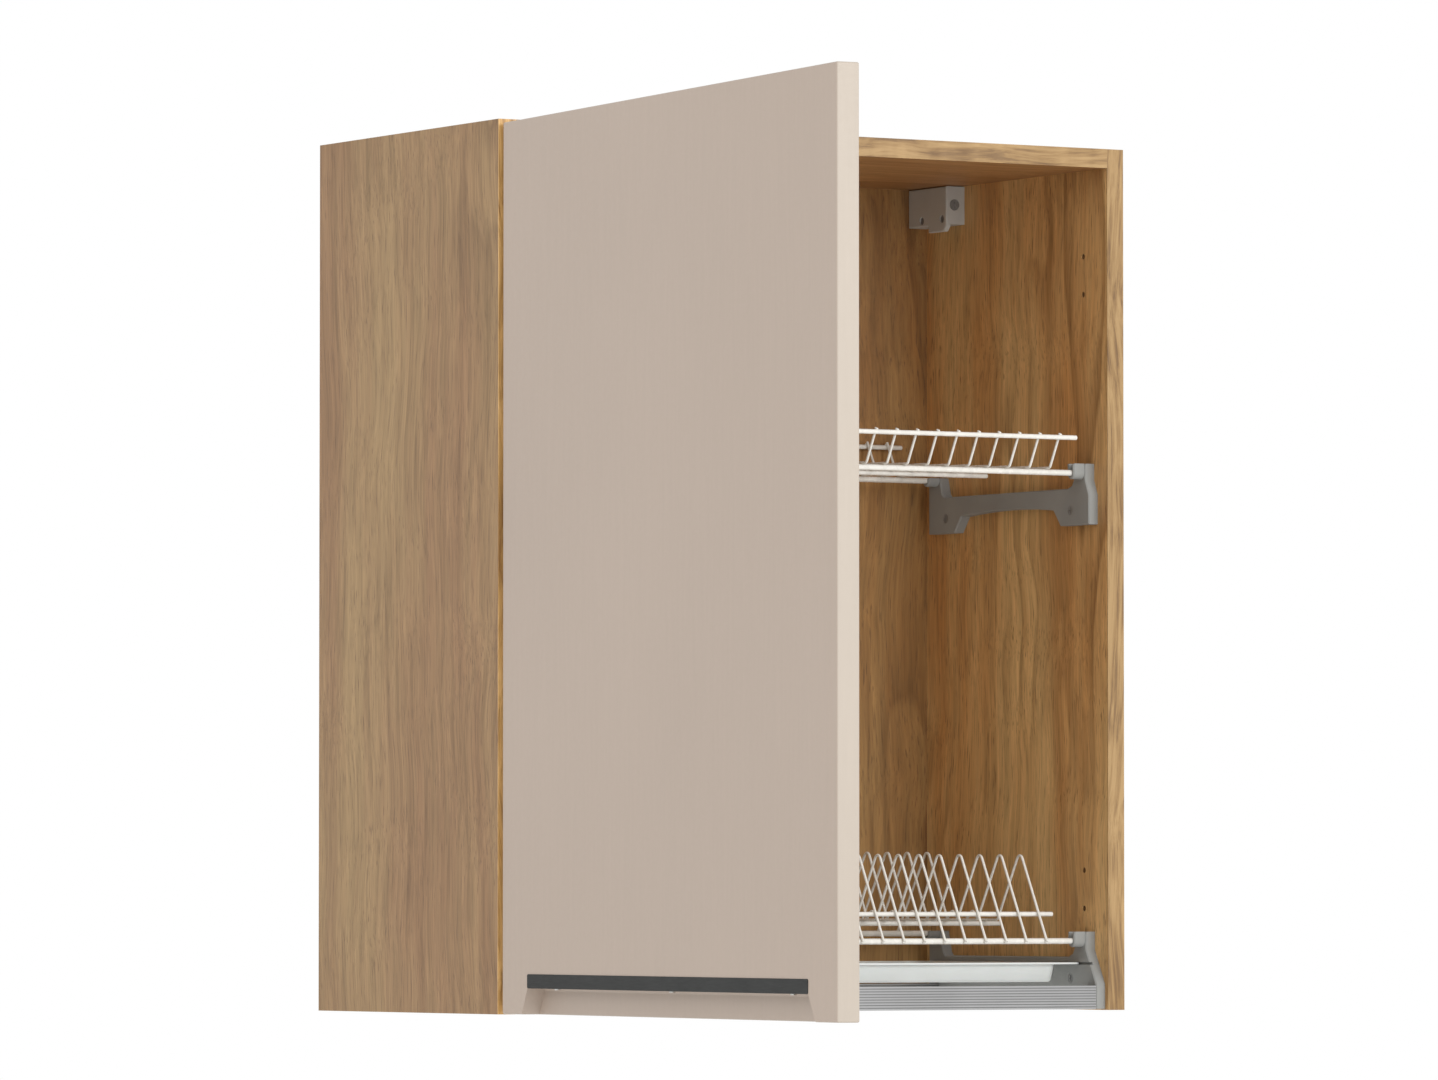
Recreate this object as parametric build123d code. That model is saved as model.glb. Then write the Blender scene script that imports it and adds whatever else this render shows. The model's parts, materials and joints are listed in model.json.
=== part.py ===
from build123d import *
import math
import os

# Wall-hung dish drying cabinet. Millimetres, +Z up, X to the right, -Y towards the room.
# The origin is on the wall plane, in the middle of the cabinet's width, level with its bottom.

# Carcass
cabinet_width = 600.0
cabinet_depth = 304.0
cabinet_height = 720.0
board = 16.0
edge_band = 0.8
back_sheet = 3.0
back_setback = 16.0
groove_depth = 8.0
groove_play = 0.1
sheet_edge_play = 0.3
cut_overrun = 1.0

# Knock-down fittings between the top and the sides
cam_diameter = 15.0
cam_height = 12.4
cam_bore_depth = 12.6
cam_from_end = 34.0
cam_slot_depth = 1.6
cam_key_length = 9.0
cam_slot_thickness = 1.6
cam_sunk = 0.2
cam_throat_play = 0.2
bolt_neck_diameter = 5.0
bolt_head_diameter = 6.4
bolt_head_length = 3.0
bolt_thread_diameter = 6.0
bolt_thread_length = 11.0
bolt_bore_diameter = 8.0
dowel_diameter = 8.0
dowel_length = 30.0
dowel_bore_play = 0.1
dowel_chamfer = 0.8
dowel_in_side = 11.0
fitting_inset = 50.0
dowel_step = 32.0
fitting_play = 0.05
end_play = 0.2

# Hinge plates, the same places bored in both sides
plate_hole_from_front = 37.0
plate_hole_spacing = 32.0
plate_hole_diameter = 5.0
plate_hole_depth = 12.0
bottom_hinge_height = 100.6
top_hinge_drop = 104.0

# Door
door_side_gap = 1.5
door_top_gap = 3.5
door_thickness = 19.0
door_gap = 2.0
door_bottom = 0.5
door_edge_radius = 1.4
open_angle = 94.75

# Finger recess and handle strip
handle_end_distance = 48.2
handle_height = 11.3
handle_bottom = 20.8
handle_corner_radius = 1.6
handle_face = 1.6
handle_lip = 1.5
handle_proud = 0.4
recess_depth = 15.6
recess_flare = 11.4
recess_corner_radius = 3.0
handle_screw_diameter = 2.6
handle_screw_length = 9.0
handle_screw_head = 5.0
handle_screw_head_height = 1.1
handle_screw_share = 0.42

# Door bumpers
bumper_diameter = 8.0
bumper_height = 1.6
bumper_inset = 9.0
bumper_from_end = 30.0

# Hinge: cup, arm, plate
pivot_from_edge = 7.15
pivot_depth = 10.8
pin_radius = 1.3
pin_play = 0.05
cup_edge_distance = 3.0
cup_diameter = 35.0
cup_wall = 0.8
cup_depth = 14.2
cup_bore_play = 0.1
flange_thickness = 0.7
flange_rim = 0.4
wing_length = 62.0
wing_width = 15.0
wing_offset = 5.5
wing_screw_spacing = 48.0
wing_screw_diameter = 3.5
wing_screw_head = 6.6
wing_screw_head_height = 0.9
wing_screw_length = 12.0
wing_corner_radius = 5.0
cheek_thickness = 5.6
cheek_gap = 0.3
cheek_radius = 3.2
arm_eye_radius = 2.35
arm_nose_width = 8.0
arm_sheet = 2.2
arm_reach = 15.2
arm_bend_radius = 2.6
arm_body_start = 12.0
arm_body_end = 58.0
arm_body_width = 13.0
arm_body_height = 9.5
arm_wall = 1.3
arm_edge_radius = 1.04
arm_hole_depth = 2.6
plate_base = 3.0
plate_width = 14.0
plate_start = 19.0
plate_end = 54.0
plate_wing_span = 46.0
plate_wing_width = 12.0
plate_corner_radius = 2.3
arm_screw_floor = 1.0
arm_screw_gap = 1.0
plate_post_height = 3.4
plate_post_width = 8.6
arm_screw_diameter = 4.0
arm_screw_head = 7.0
arm_screw_head_height = 1.8
arm_screw_front = 24.0
arm_screw_rear = 48.0
plate_screw_diameter = 5.0
plate_screw_head = 8.4
plate_screw_head_height = 1.8
plate_screw_length = 13.05
cross_recess_width = 1.0
cross_recess_depth = 0.8
cross_recess_share = 0.6

# Racks: places are depths behind the carcass front and heights above its bottom
rod_diameter = 5.0
rail_diameter = 4.0
wire_diameter = 2.2
rod_end_gap = 3.5
rail_overhang = 15.5
wire_pitch = 20.0
wire_end_distance = 35.0
front_rod_depth = 27.0
rear_rod_from_back = 29.5
rod_chamfer_share = 0.125
wire_bend_radius = 3.2

# Plate rack, the lower one
plate_rack_shift = -2.2
plate_rod_above_rim = 17.9
plate_rear_rod_rise = 5.6
plate_rail_rise = 22.5
plate_middle_rod_rise = 14.5
plate_middle_rod_offset = 19.0
front_peak_rise = 76.0
rear_peak_rise = 78.4
front_peak_run = 37.5
rear_peak_run = 44.5
peak_radius = 4.5
front_valley_run = 35.1
rear_valley_run = 32.6
valley_radius = 5.0
hump_half_width = 10.0
hump_height = 8.2
leg_tail = 2.5

# Cup and glass rack, the upper one
cup_front_rod_height = 449.2
cup_rear_rod_rise = 2.4
cup_middle_rod_share = 0.508
front_fence_rise = 28.0
front_fence_lean = 15.4
front_fence_overhang = 6.2
front_fence_rail_rise = 24.6
rear_fence_rise = 29.5
rear_fence_lean = 16.4
rear_fence_overhang = 7.1
rear_fence_rail_rise = 25.5

# Rack brackets
bracket_thickness = 9.0
bracket_rear_gap = 17.5
bracket_front_foot = 44.5
bracket_rear_foot = 41.5
arch_side_rise = 13.5
arch_middle_rise = 16.6
arch_side_run = 11.0
bridge_rise = 31.0
upper_bracket_drop = 43.2
upper_bracket_front = 15.0
lower_bracket_bottom = 1.0
lower_bracket_front = 5.0
lower_bridge_above_rim = 4.7
post_front_depth = 20.4
post_rear_depth = 38.0
post_flare_run = 10.5
post_flare_rise = 8.0
post_flare_share = 0.32
rear_post_front_gap = 5.5
rear_post_lean_share = 0.25
post_round = 3.0
bracket_edge_chamfer = 0.9
saddle_reach = 10.5
saddle_wall = 2.4
saddle_clearance = 0.3
front_saddle_rise = 7.8
rear_saddle_rise = 2.3
bracket_screw_front = 44.0
bracket_screw_from_rear = 27.5
upper_screw_rise = 12.6
lower_screw_rise = 25.3
bracket_screw_diameter = 5.0
bracket_screw_head = 8.0
bracket_screw_head_height = 2.0
bracket_screw_sunk = 0.2
bracket_screw_length = 12.0
tray_groove_depth = 2.6

# Grooved aluminium rails across the bottom
rail_section_height = 19.5
rail_section_depth = 13.0
rail_wall = 1.5
rail_rib_count = 8
rail_rib_depth = 0.6
rail_rib_share = 0.4
rail_bottom = 0.8
rail_plug_play = 0.15
rail_plug_length = 12.0
rear_rail_from_rear = 16.5

# Drip tray
tray_above_rails = 3.1
tray_height = 16.2
tray_rim_thickness = 1.5
tray_rim_side_gap = 0.6
tray_front_depth = 27.4
tray_rear_gap = 6.5
tray_corner_radius = 10.0
tray_body_inset_side = 22.5
tray_body_inset_end = 4.5
tray_wall = 1.8
tray_draft = 2.2
tray_body_radius = 9.0
tray_foot_radius = 2.5
tray_running_gap = 0.3

# Cabinet hangers in the rear top corners
hanger_width = 18.5
hanger_depth = 61.0
hanger_height = 32.6
hanger_top_gap = 0.6
hanger_lug_length = 29.0
hanger_lug_width = 4.4
hanger_lug_drop = 6.0
hanger_lug_chamfer = 4.5
hanger_edge_chamfer = 0.8
hanger_rear_gap = 0.4
hanger_screw_sunk = 1.1
hook_room_start = 8.2
hook_thickness = 4.0
hook_height = 14.0
hook_top_gap = 8.5
hook_reach = 12.0
hook_lip_drop = 10.0
hook_lip_thickness = 4.0
hook_tail = 28.0
hook_corner_radius = 1.0
hook_play = 0.35
hook_travel = 6.0
hook_slot_play = 1.0
hanger_screw_diameter = 4.0
hanger_screw_head = 7.0
hanger_screw_head_height = 1.6
hanger_screw_length = 10.8
hanger_screw_front = 7.2
hanger_screw_rear = 39.6
hanger_screw_rise = 4.8
adjuster_diameter = 6.0
adjuster_head = 9.0
adjuster_head_height = 3.0
adjuster_shank_length = 14.0
adjuster_tip_radius = 1.0
adjuster_tip_length = 4.0
adjuster_from_wall = 10.0
adjuster_rise = 16.8

# Worked out from the sizes above
half_width = cabinet_width / 2
inner_half = half_width - board
front_y = -cabinet_depth
top_underside = cabinet_height - board
back_face = cabinet_depth - back_setback - back_sheet
top_hinge_height = cabinet_height - top_hinge_drop
door_width = cabinet_width - door_side_gap * 2
door_height = cabinet_height - door_bottom - door_top_gap
handle_length = door_width - handle_end_distance * 2
pivot_x = -door_width / 2 + pivot_from_edge
pivot_y = front_y - door_gap - pivot_depth

bracket_inner = inner_half - bracket_thickness
bracket_rear_depth = back_face - bracket_rear_gap
bracket_screw_depths = (bracket_screw_front, bracket_rear_depth - bracket_screw_from_rear)
rear_rail_depth = bracket_rear_depth - rear_rail_from_rear
tray_rear_depth = bracket_rear_depth - tray_rear_gap
tray_bottom_height = rail_bottom + rail_section_height + tray_above_rails
tray_rim_top = tray_bottom_height + tray_height
lower_bridge_rise = tray_rim_top + lower_bridge_above_rim - lower_bracket_bottom
upper_bracket_bottom = cup_front_rod_height - upper_bracket_drop

rear_rod_depth = back_face - rear_rod_from_back
rod_length = (bracket_inner - rod_end_gap) * 2
wire_count = int((bracket_inner - wire_end_distance) * 2 / wire_pitch) + 1
first_wire_x = -wire_pitch * (wire_count - 1) / 2
rail_length = (rail_overhang - first_wire_x) * 2
cross_wire_rise = rod_diameter / 2 + wire_diameter / 2
cup_rear_rod_height = cup_front_rod_height + cup_rear_rod_rise
plate_front_rod_height = tray_rim_top + plate_rod_above_rim
plate_rear_rod_height = plate_front_rod_height + plate_rear_rod_rise
plate_rail_height = plate_front_rod_height + plate_rail_rise
plate_middle_rod_height = plate_front_rod_height + plate_middle_rod_rise
front_peak_depth = front_rod_depth + front_peak_run
rear_peak_depth = rear_rod_depth - rear_peak_run
valley_front_depth = front_peak_depth + front_valley_run
valley_rear_depth = rear_peak_depth - rear_valley_run
hump_depth = (valley_front_depth + valley_rear_depth) / 2


def depth(d):
    """Y of a place that lies d behind the carcass front."""
    return front_y + d


def block(x0, x1, y0, y1, z0, z1):
    """Box between two corners."""
    middle = Pos((x0 + x1) / 2, (y0 + y1) / 2, (z0 + z1) / 2)
    return middle * Box(abs(x1 - x0), abs(y1 - y0), abs(z1 - z0))


def rod(radius, start, end):
    """Round bar from one point to another."""
    a, b = Vector(*start), Vector(*end)
    plane = Plane(origin=a, z_dir=b - a)
    return plane * Cylinder(radius, (b - a).length, align=(Align.CENTER, Align.CENTER, Align.MIN))


def slab(outline, thickness, x0):
    """Plate whose outline is drawn in depth and height and which is thick along X."""
    face = Plane(origin=(x0, 0, 0), x_dir=(0, 1, 0), z_dir=(1, 0, 0)) * make_face(outline)
    return extrude(face, thickness, dir=(1, 0, 0))


def cross_recess(head, width, recess_depth, axis_start, direction):
    """The two slots of a cross recess in a screw head, to be cut from it."""
    plane = Plane(origin=axis_start, z_dir=direction)
    bars = Box(head, width, recess_depth * 2) + Box(width, head, recess_depth * 2)
    return plane * bars


def headed_screw(start, direction, head, head_height, shank, length):
    """Screw with a round head whose outer face is at start; its shank runs along direction."""
    way = Vector(*direction).normalized()
    top = Vector(*start)
    neck = top + way * head_height
    body = rod(head / 2, top, neck) + rod(shank / 2, neck, neck + way * length)
    recess = head * cross_recess_share
    return body - cross_recess(recess, cross_recess_width, cross_recess_depth, top, way)


def mirrored(shape):
    return mirror(shape, about=Plane.YZ)


def opened(shape):
    """Turn something drawn with the door shut into the open position that the part rests in."""
    return Pos(pivot_x, pivot_y, 0) * Rot(0, 0, -open_angle) * Pos(-pivot_x, -pivot_y, 0) * shape


def save(name, *solids):
    """Write one sub-part, as one solid or as a group of separate ones."""
    shape = solids[0] if len(solids) == 1 else Compound(children=list(solids))
    export_step(shape, os.path.join("parts", name + ".step"))


# Carcass boards


def side_panel(sign):
    outer, inner = sign * half_width, sign * inner_half
    panel = block(outer, inner, front_y + edge_band, 0, 0, cabinet_height)
    groove = block(
        inner + sign * groove_depth,
        inner - sign * cut_overrun,
        depth(back_face) - groove_play,
        depth(back_face + back_sheet) + groove_play,
        -cut_overrun,
        cabinet_height - board + groove_depth,
    )
    panel -= groove
    for height in (bottom_hinge_height, top_hinge_height):
        for step in (-1, 1):
            z = height + step * plate_hole_spacing / 2
            y = depth(plate_hole_from_front)
            panel -= rod(plate_hole_diameter / 2, (inner, y, z), (inner + sign * plate_hole_depth, y, z))
    for y, z in bracket_screw_places():
        deep = inner + sign * plate_hole_depth
        panel -= rod(bracket_screw_diameter / 2 + fitting_play, (inner, y, z), (deep, y, z))
    for y, z in hanger_screw_places():
        deep = inner + sign * plate_hole_depth
        panel -= rod(hanger_screw_diameter / 2 + fitting_play, (inner, y, z), (deep, y, z))
    z = cabinet_height - board / 2
    for y in cam_places():
        deep = inner + sign * (bolt_thread_length + fitting_play)
        panel -= rod(bolt_thread_diameter / 2 + fitting_play, (inner, y, z), (deep, y, z))
    for y in dowel_places():
        deep = inner + sign * (dowel_in_side + dowel_bore_play)
        panel -= rod(dowel_diameter / 2 + dowel_bore_play, (inner, y, z), (deep, y, z))
    return panel


def cam_places():
    return [depth(fitting_inset), depth(back_face - fitting_inset)]


def dowel_places():
    return [depth(fitting_inset + dowel_step), depth(back_face - fitting_inset - dowel_step)]


def bracket_screw_places():
    places = []
    for bottom, rise in ((upper_bracket_bottom, upper_screw_rise), (lower_bracket_bottom, lower_screw_rise)):
        for d in bracket_screw_depths:
            places.append((depth(d), bottom + rise))
    return places


def top_panel():
    panel = block(-inner_half, inner_half, front_y + edge_band, 0, top_underside, cabinet_height)
    panel -= block(
        -half_width,
        half_width,
        depth(back_face) - groove_play,
        depth(back_face + back_sheet) + groove_play,
        top_underside - cut_overrun,
        top_underside + groove_depth,
    )
    z = cabinet_height - board / 2
    for sign in (-1, 1):
        end = sign * inner_half
        for y in cam_places():
            cam_x = end - sign * cam_from_end
            floor = cabinet_height - cam_bore_depth
            panel -= rod(cam_diameter / 2 + fitting_play, (cam_x, y, floor), (cam_x, y, cabinet_height))
            panel -= rod(bolt_bore_diameter / 2, (end, y, z), (cam_x, y, z))
        for y in dowel_places():
            deep = end - sign * (dowel_length - dowel_in_side + dowel_bore_play)
            panel -= rod(dowel_diameter / 2 + dowel_bore_play, (end, y, z), (deep, y, z))
    return panel


def cam_lock(sign, y):
    """Die-cast disc whose open throat grips the bolt's head."""
    x = sign * (inner_half - cam_from_end)
    z = cabinet_height - board / 2
    top = cabinet_height - cam_sunk
    disc = rod(cam_diameter / 2, (x, y, top - cam_height), (x, y, top))
    throat_radius = bolt_head_diameter / 2 + cam_throat_play
    disc -= rod(throat_radius, (x - sign * throat_radius, y, z), (x + sign * cam_diameter, y, z))
    key = Pos(x, y, top)
    disc -= key * Box(cam_key_length, cam_slot_thickness, cam_slot_depth * 2)
    disc -= key * Box(cam_slot_thickness, cam_key_length, cam_slot_depth * 2)
    return disc


def cam_bolt(sign, y):
    z = cabinet_height - board / 2
    face = sign * inner_half
    head_end = face - sign * cam_from_end
    head_start = head_end + sign * bolt_head_length
    bolt = rod(bolt_thread_diameter / 2, (face + sign * bolt_thread_length, y, z), (face, y, z))
    bolt += rod(bolt_neck_diameter / 2, (face, y, z), (head_start, y, z))
    bolt += rod(bolt_head_diameter / 2, (head_start, y, z), (head_end, y, z))
    return bolt


def dowel(sign, y):
    z = cabinet_height - board / 2
    face = sign * inner_half
    start = face + sign * dowel_in_side
    pin = rod(dowel_diameter / 2, (start, y, z), (start - sign * dowel_length, y, z))
    return chamfer(pin.edges().filter_by(GeomType.CIRCLE), dowel_chamfer)


def back_panel():
    """Thin sheet in the grooves, with a window for each hanger's hook."""
    half = inner_half + groove_depth - sheet_edge_play
    top = top_underside + groove_depth - sheet_edge_play
    near, far = depth(back_face), depth(back_face + back_sheet)
    sheet = block(-half, half, near, far, rail_bottom, top)
    for sign in (-1, 1):
        x0, x1, z0, z1 = hook_window(sign)
        sheet -= block(x0, x1, near - cut_overrun, far + cut_overrun, z0, z1)
    return sheet


def edge_bands():
    left = block(-half_width, -inner_half, front_y, front_y + edge_band, 0, cabinet_height)
    top = block(-inner_half, inner_half, front_y, front_y + edge_band, top_underside, cabinet_height)
    return left, top, mirrored(left)


# Rack brackets and the rails between the lower pair


def bracket_outline(bottom, front, bridge, front_points, front_top, rear_top):
    """Side view of a bracket: two feet, an arch between them, a bridge and two posts."""
    y = depth
    foot_end = front + bracket_front_foot
    rear_foot = bracket_rear_depth - bracket_rear_foot
    arch_front, arch_rear = foot_end + arch_side_run, rear_foot - arch_side_run
    arch_z = bottom + arch_side_rise
    arch = ThreePointArc(
        (y(arch_front), arch_z),
        (y((arch_front + arch_rear) / 2), bottom + arch_middle_rise),
        (y(arch_rear), arch_z),
    )
    lower = Polyline((y(front), bottom), (y(foot_end), bottom), (y(arch_front), arch_z))
    bridge_z = bottom + bridge
    flare_depth = post_rear_depth + post_flare_run * post_flare_share
    rear_post_top = rear_rod_depth - rear_post_front_gap
    rear_post_foot = rear_post_top - (rear_top - bridge_z) * rear_post_lean_share
    rest = Polyline(
        (y(arch_rear), arch_z),
        (y(rear_foot), bottom),
        (y(bracket_rear_depth), bottom),
        (y(bracket_rear_depth), rear_top),
        (y(rear_post_top), rear_top),
        (y(rear_post_foot), bridge_z + post_round),
        (y(rear_post_foot - post_round), bridge_z),
        (y(post_rear_depth + post_flare_run), bridge_z),
        (y(flare_depth), bridge_z + post_flare_rise * post_flare_share),
        (y(post_rear_depth), bridge_z + post_flare_rise),
        (y(post_rear_depth), front_top),
        (y(post_front_depth), front_top),
        *[(y(d), z) for d, z in front_points],
        (y(front), bottom),
    )
    return lower + arch + rest


def saddle(rod_depth, rod_height, rise):
    """U-shaped cradle that sticks out of the bracket and is open at the top for a rod's end."""
    radius = rod_diameter / 2 + saddle_clearance + saddle_wall
    y = depth(rod_depth)
    x0 = bracket_inner - saddle_reach
    near, far = y - radius, y + radius
    round_bottom = rod(radius, (x0, y, rod_height), (bracket_inner, y, rod_height))
    round_bottom &= block(x0, bracket_inner, near, far, rod_height - radius, rod_height)
    solid = round_bottom + block(x0, bracket_inner, near, far, rod_height, rod_height + rise)
    inner_end = solid.faces().sort_by(Axis.X)[0]
    return chamfer(inner_end.edges(), bracket_edge_chamfer)


def saddle_slot(rod_depth, rod_height, rise):
    radius = rod_diameter / 2 + saddle_clearance
    y = depth(rod_depth)
    x0 = bracket_inner - saddle_reach - cut_overrun
    x1 = bracket_inner
    channel = block(x0, x1, y - radius, y + radius, rod_height, rod_height + rise + cut_overrun)
    return channel + rod(radius, (x0, y, rod_height), (x1, y, rod_height))


def bracket(outline, bottom, screw_rise, rods):
    """Moulded bracket for the right side panel, with its inner edges eased."""
    plate = slab(outline, bracket_thickness, bracket_inner)
    face = plate.faces().sort_by(Axis.X)[0]
    plate = chamfer(face.edges(), bracket_edge_chamfer)
    for rod_depth, height, rise in rods:
        plate += saddle(rod_depth, height, rise)
    for rod_depth, height, rise in rods:
        plate -= saddle_slot(rod_depth, height, rise)
    for d in bracket_screw_depths:
        y, z = depth(d), bottom + screw_rise
        plate -= rod(
            bracket_screw_diameter / 2 + fitting_play, (bracket_inner, y, z), (inner_half + cut_overrun, y, z)
        )
        seat = bracket_inner + bracket_screw_sunk + bracket_screw_head_height
        plate -= rod(bracket_screw_head / 2 + fitting_play, (bracket_inner - cut_overrun, y, z), (seat, y, z))
    return plate


def upper_bracket():
    rods = (
        (front_rod_depth, cup_front_rod_height, front_saddle_rise),
        (rear_rod_depth, cup_rear_rod_height, rear_saddle_rise),
    )
    front_top = cup_front_rod_height + front_saddle_rise
    shoulder = upper_bracket_bottom + bridge_rise
    front_points = (
        (post_front_depth, shoulder + post_round * 2),
        (upper_bracket_front, shoulder - post_round * 2),
    )
    rear_top = cup_rear_rod_height + rear_saddle_rise
    outline = bracket_outline(
        upper_bracket_bottom, upper_bracket_front, bridge_rise, front_points, front_top, rear_top
    )
    return bracket(outline, upper_bracket_bottom, upper_screw_rise, rods)


def lower_bracket():
    rods = (
        (front_rod_depth, plate_front_rod_height, front_saddle_rise),
        (rear_rod_depth, plate_rear_rod_height, rear_saddle_rise),
    )
    front_top = plate_front_rod_height + front_saddle_rise
    shoulder = lower_bracket_bottom + lower_bridge_rise
    middle_depth = (post_front_depth + lower_bracket_front) / 2 - post_round / 2
    toe_top = rail_bottom + rail_section_height + post_round / 2
    front_points = (
        (post_front_depth, shoulder + post_round * 2),
        (middle_depth, (shoulder + toe_top) / 2),
        (lower_bracket_front, toe_top),
    )
    rear_top = plate_rear_rod_height + rear_saddle_rise
    outline = bracket_outline(
        lower_bracket_bottom, lower_bracket_front, lower_bridge_rise, front_points, front_top, rear_top
    )
    solid = bracket(outline, lower_bracket_bottom, lower_screw_rise, rods)
    solid -= block(
        bracket_inner - cut_overrun,
        bracket_inner + tray_groove_depth,
        front_y,
        depth(tray_rear_depth + tray_running_gap),
        tray_rim_top - tray_rim_thickness - tray_running_gap,
        tray_rim_top + tray_running_gap,
    )
    for start in (lower_bracket_front, rear_rail_depth):
        inset = rail_wall + rail_plug_play
        solid += block(
            bracket_inner - rail_plug_length,
            bracket_inner,
            depth(start + rail_rib_depth + inset),
            depth(start + rail_section_depth - inset),
            rail_bottom + inset,
            rail_bottom + rail_section_height - inset,
        )
    return solid


def bracket_screw(y, z):
    start = (bracket_inner + bracket_screw_sunk, y, z)
    through = bracket_thickness - bracket_screw_sunk - bracket_screw_head_height
    length = through + bracket_screw_length - end_play
    head, height = bracket_screw_head, bracket_screw_head_height
    return headed_screw(start, (1, 0, 0), head, height, bracket_screw_diameter, length)


def bottom_rail(start):
    """Grooved box section between the lower brackets."""
    near, far = depth(start), depth(start + rail_section_depth)
    low, high = rail_bottom, rail_bottom + rail_section_height
    solid = block(-bracket_inner, bracket_inner, near, far, low, high)
    solid -= block(
        -half_width,
        half_width,
        near + rail_rib_depth + rail_wall,
        far - rail_wall,
        low + rail_wall,
        high - rail_wall,
    )
    pitch = (rail_section_height - rail_wall) / rail_rib_count
    for k in range(rail_rib_count):
        z = low + rail_wall + pitch * k
        top = z + pitch * rail_rib_share
        solid -= block(-half_width, half_width, near - cut_overrun, near + rail_rib_depth, z, top)
    return solid


# Drip tray


def tray_outline(half, near, far, radius, z):
    return Pos(0, (near + far) / 2, z) * RectangleRounded(half * 2, far - near, radius)


def drip_tray():
    """Vacuum-formed tray: a flat rim and a shallow tub with sloping walls."""
    half = bracket_inner + tray_groove_depth - tray_rim_side_gap
    near, far = depth(tray_front_depth), depth(tray_rear_depth)
    rim_low = tray_rim_top - tray_rim_thickness
    rim = extrude(tray_outline(half, near, far, tray_corner_radius, rim_low), tray_rim_thickness)
    tub_half = half - tray_body_inset_side
    tub_near, tub_far = near + tray_body_inset_end, far - tray_body_inset_end

    def tub(offset, low, high):
        upper = tray_outline(tub_half - offset, tub_near + offset, tub_far - offset, tray_body_radius, high)
        inset = offset + tray_draft
        lower = tray_outline(tub_half - inset, tub_near + inset, tub_far - inset, tray_body_radius, low)
        solid = loft([lower, upper], ruled=True)
        return fillet(solid.faces().sort_by(Axis.Z)[0].edges(), tray_foot_radius)

    shell = rim + tub(0, tray_bottom_height, rim_low)
    inner_low = tray_bottom_height + tray_wall
    return shell - tub(tray_wall, inner_low, tray_rim_top + cut_overrun)


# Racks of round wire


def bent_wire(x, points, radii):
    """Wire in a plane across X that follows points, rounded at each corner."""
    places = [Vector(x, depth(d), z) for d, z in points]
    path = FilletPolyline(*places, radius=radii)
    start = Plane(origin=places[0], z_dir=places[1] - places[0])
    return sweep(start * Circle(wire_diameter / 2), path)


def tangent_foot(rod_depth, rod_height, corner_depth, corner_height, side):
    """End of a leg that comes down past a rod and touches it: side is 1 in front, -1 behind."""
    reach = (rod_diameter + wire_diameter) / 2
    run, rise = corner_depth - rod_depth, corner_height - rod_height
    turn = math.atan2(rise, run) + side * math.acos(reach / math.hypot(run, rise))
    touch_depth, touch_height = rod_depth + reach * math.cos(turn), rod_height + reach * math.sin(turn)
    run, rise = touch_depth - corner_depth, touch_height - corner_height
    stretch = leg_tail / math.hypot(run, rise)
    return touch_depth + run * stretch, touch_height + rise * stretch


def front_leg():
    """Foot and upper corner of the plate wires' front leg."""
    corner = (front_peak_depth, plate_front_rod_height + front_peak_rise)
    return tangent_foot(front_rod_depth, plate_front_rod_height, *corner, 1), corner


def plate_wire(x):
    """From the front rod over the front peak, along the bottom with a hump, and back up and down."""
    floor = plate_middle_rod_height + (rail_diameter + wire_diameter) / 2
    foot, front_corner = front_leg()
    rear_corner = (rear_peak_depth, plate_front_rod_height + rear_peak_rise)
    points = [
        foot,
        front_corner,
        (valley_front_depth, floor),
        (hump_depth - hump_half_width, floor),
        (hump_depth, floor + hump_height),
        (hump_depth + hump_half_width, floor),
        (valley_rear_depth, floor),
        rear_corner,
        tangent_foot(rear_rod_depth, plate_rear_rod_height, *rear_corner, -1),
    ]
    bend = wire_bend_radius
    return bent_wire(x, points, [peak_radius, valley_radius, bend, bend, bend, valley_radius, peak_radius])


def cup_wire(x):
    """From the leaning front fence, back over the three rods and up the leaning rear fence."""
    slope = cup_rear_rod_rise / (rear_rod_depth - front_rod_depth)
    front, rear = front_rod_depth - front_fence_overhang, rear_rod_depth + rear_fence_overhang
    low_front = cup_front_rod_height + cross_wire_rise - slope * front_fence_overhang
    low_rear = cup_rear_rod_height + cross_wire_rise + slope * rear_fence_overhang
    points = [
        (front - front_fence_lean, low_front + front_fence_rise),
        (front, low_front),
        (rear, low_rear),
        (rear + rear_fence_lean, low_rear + rear_fence_rise),
    ]
    return bent_wire(x, points, [wire_bend_radius, wire_bend_radius])


def cross_rod(length, diameter, d, z, shift=0):
    ends = rod(diameter / 2, (shift - length / 2, depth(d), z), (shift + length / 2, depth(d), z))
    return chamfer(ends.edges().filter_by(GeomType.CIRCLE), diameter * rod_chamfer_share)


def wire_places(shift=0):
    return [first_wire_x + wire_pitch * k + shift for k in range(wire_count)]


def fence_rail_run(lean, rise, rail_rise):
    """How far outside the foot of a leaning fence its rail lies, touching the wires."""
    touch = (rail_diameter + wire_diameter) / 2 * math.hypot(lean, rise) / rise
    return lean * rail_rise / rise + touch


def rail_behind_leg(height):
    """Depth of a level rail that touches the plate wires' front leg from behind."""
    (foot_depth, foot_height), (corner_depth, corner_height) = front_leg()
    run, rise = corner_depth - foot_depth, corner_height - foot_height
    reach = (rail_diameter + wire_diameter) / 2 * math.hypot(run, rise) / rise
    return foot_depth + (height - foot_height) * run / rise + reach


# Door, handle, bumpers


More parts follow.
